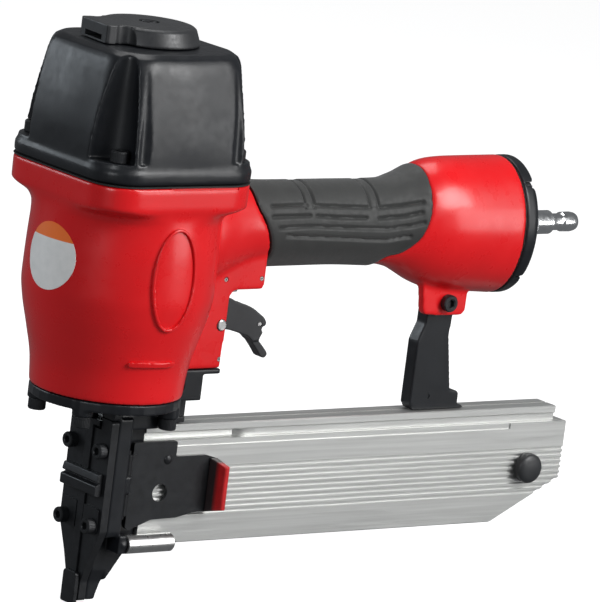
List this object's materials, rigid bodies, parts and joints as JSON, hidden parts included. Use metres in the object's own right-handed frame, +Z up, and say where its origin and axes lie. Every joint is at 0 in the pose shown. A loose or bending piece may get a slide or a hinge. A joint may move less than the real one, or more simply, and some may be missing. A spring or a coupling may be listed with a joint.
{
  "type": "brad nailer",
  "caption": "Pneumatic brad nailer with a pistol handle over a long straight side-loading magazine, a square cylinder head with a turning exhaust deflector, and an air plug at the rear.",
  "frame": {"origin": "centre of the contact foot's flat underside, where the tool meets the work", "axes": "+Z up along the drive axis, +X back along the magazine, -Y out of the magazine cover's side"},
  "size_m": [0.3765, 0.104, 0.3201],
  "materials": {
    "red_paint": "satin painted die-cast aluminium",
    "black_cast": "satin black painted casting",
    "black_steel": "black oxide steel",
    "grip_rubber": "matte moulded rubber",
    "black_plastic": "moulded black plastic",
    "aluminium": "satin extruded aluminium",
    "bright_steel": "bright steel",
    "chrome": "polished plated steel",
    "seal_rubber": "soft black rubber",
    "bumper_urethane": "amber urethane"
  },
  "bodies": {
    "tool_body": {"housing": "red_paint", "grip_sleeve": "grip_rubber", "cylinder_cap": "black_cast", "cap_gasket": "seal_rubber", "cap_screw_1": "black_steel", "cap_screw_2": "black_steel", "cap_screw_3": "black_steel", "cap_screw_4": "black_steel", "deflector_screw": "black_steel", "head_valve_spring": "bright_steel", "cylinder_sleeve": "aluminium", "sleeve_seal": "seal_rubber", "bumper": "bumper_urethane", "nose_body": "black_cast", "nose_front_plate": "black_steel", "strip_guide": "black_steel", "nose_screw_1": "black_steel", "nose_screw_2": "black_steel", "nose_screw_3": "black_steel", "nose_screw_4": "black_steel", "base_screw_1": "black_steel", "base_screw_2": "black_steel", "base_screw_3": "black_steel", "base_screw_4": "black_steel", "contact_spring": "bright_steel", "trigger_pin": "bright_steel", "valve_body": "aluminium", "valve_spring": "bright_steel", "roll_pin_1": "bright_steel", "roll_pin_2": "bright_steel", "roll_pin_3": "bright_steel", "end_cap": "black_cast", "end_cap_gasket": "seal_rubber", "end_screw_1": "black_steel", "end_screw_2": "black_steel", "end_screw_3": "black_steel", "end_screw_4": "black_steel", "air_plug": "chrome", "magazine_rail": "aluminium", "latch_pin": "bright_steel", "guide_tube": "bright_steel", "support_bracket": "black_cast", "bracket_bolt": "black_steel"},
    "deflector": {"exhaust_deflector": "black_plastic"},
    "head_valve": {"head_valve": "black_plastic"},
    "piston": {"drive_piston": "aluminium", "driver_blade": "bright_steel"},
    "contact": {"contact_foot": "black_steel", "contact_yoke": "black_steel"},
    "trigger": {"trigger": "black_plastic", "lever_pin": "bright_steel"},
    "lever": {"trigger_lever": "bright_steel"},
    "valve_stem": {"valve_stem": "bright_steel"},
    "cover": {"magazine_cover": "aluminium", "cover_knob": "black_plastic", "pusher_spring": "bright_steel"},
    "pusher": {"pusher": "black_steel"},
    "latch": {"latch_plate": "black_steel", "latch_tab": "red_paint", "latch_rivet": "bright_steel"}
  },
  "joints": [
    {"name": "deflector_turn", "type": "hinge", "parent": "tool_body", "child": "deflector", "pos_m": [0.008, 0, 0.315], "axis": [0, 0, 1], "continuous": true},
    {"name": "head_valve_lift", "type": "slide", "parent": "tool_body", "child": "head_valve", "axis": [0, 0, 1], "range_m": [0, 0.004], "stiffness_N_per_m": 800, "springref_m": -0.002, "deforming": ["head_valve_spring"]},
    {"name": "piston_stroke", "type": "slide", "parent": "tool_body", "child": "piston", "axis": [0, 0, -1], "range_m": [0, 0.0855]},
    {"name": "contact_lift", "type": "slide", "parent": "tool_body", "child": "contact", "axis": [0, 0, 1], "range_m": [0, 0.006], "stiffness_N_per_m": 500, "springref_m": -0.006, "deforming": ["contact_spring"]},
    {"name": "trigger_pull", "type": "hinge", "parent": "tool_body", "child": "trigger", "pos_m": [0.0706, 0, 0.1553], "axis": [0, -1, 0], "range_deg": [0, 12], "stiffness_Nm_per_rad": 0.5, "springref_deg": -14.32},
    {"name": "lever_lift", "type": "hinge", "parent": "trigger", "child": "lever", "pos_m": [0.1054, 0, 0.1524], "axis": [0, 1, 0], "range_deg": [0, 7.55]},
    {"name": "valve_stem_lift", "type": "slide", "parent": "tool_body", "child": "valve_stem", "axis": [0, 0, 1], "range_m": [0, 0.0025], "deforming": ["valve_spring"]},
    {"name": "cover_slide", "type": "slide", "parent": "tool_body", "child": "cover", "axis": [1, 0, 0], "range_m": [0, 0.2]},
    {"name": "pusher_slide", "type": "slide", "parent": "cover", "child": "pusher", "axis": [1, 0, 0], "range_m": [0, 0.23], "stiffness_N_per_m": 25, "springref_m": -0.12, "deforming": ["pusher_spring"]},
    {"name": "latch_swing", "type": "hinge", "parent": "tool_body", "child": "latch", "pos_m": [0.0192, -0.0132, 0.068], "axis": [0, 0, -1], "range_deg": [0, 12], "stiffness_Nm_per_rad": 0.6, "springref_deg": -17.19}
  ],
  "couplings": [
    {"joint": "valve_stem_lift", "follows": "trigger_pull", "m_per_rad": 0.01193},
    {"joint": "lever_lift", "follows": "contact_lift", "rad_per_m": 21.9}
  ]
}
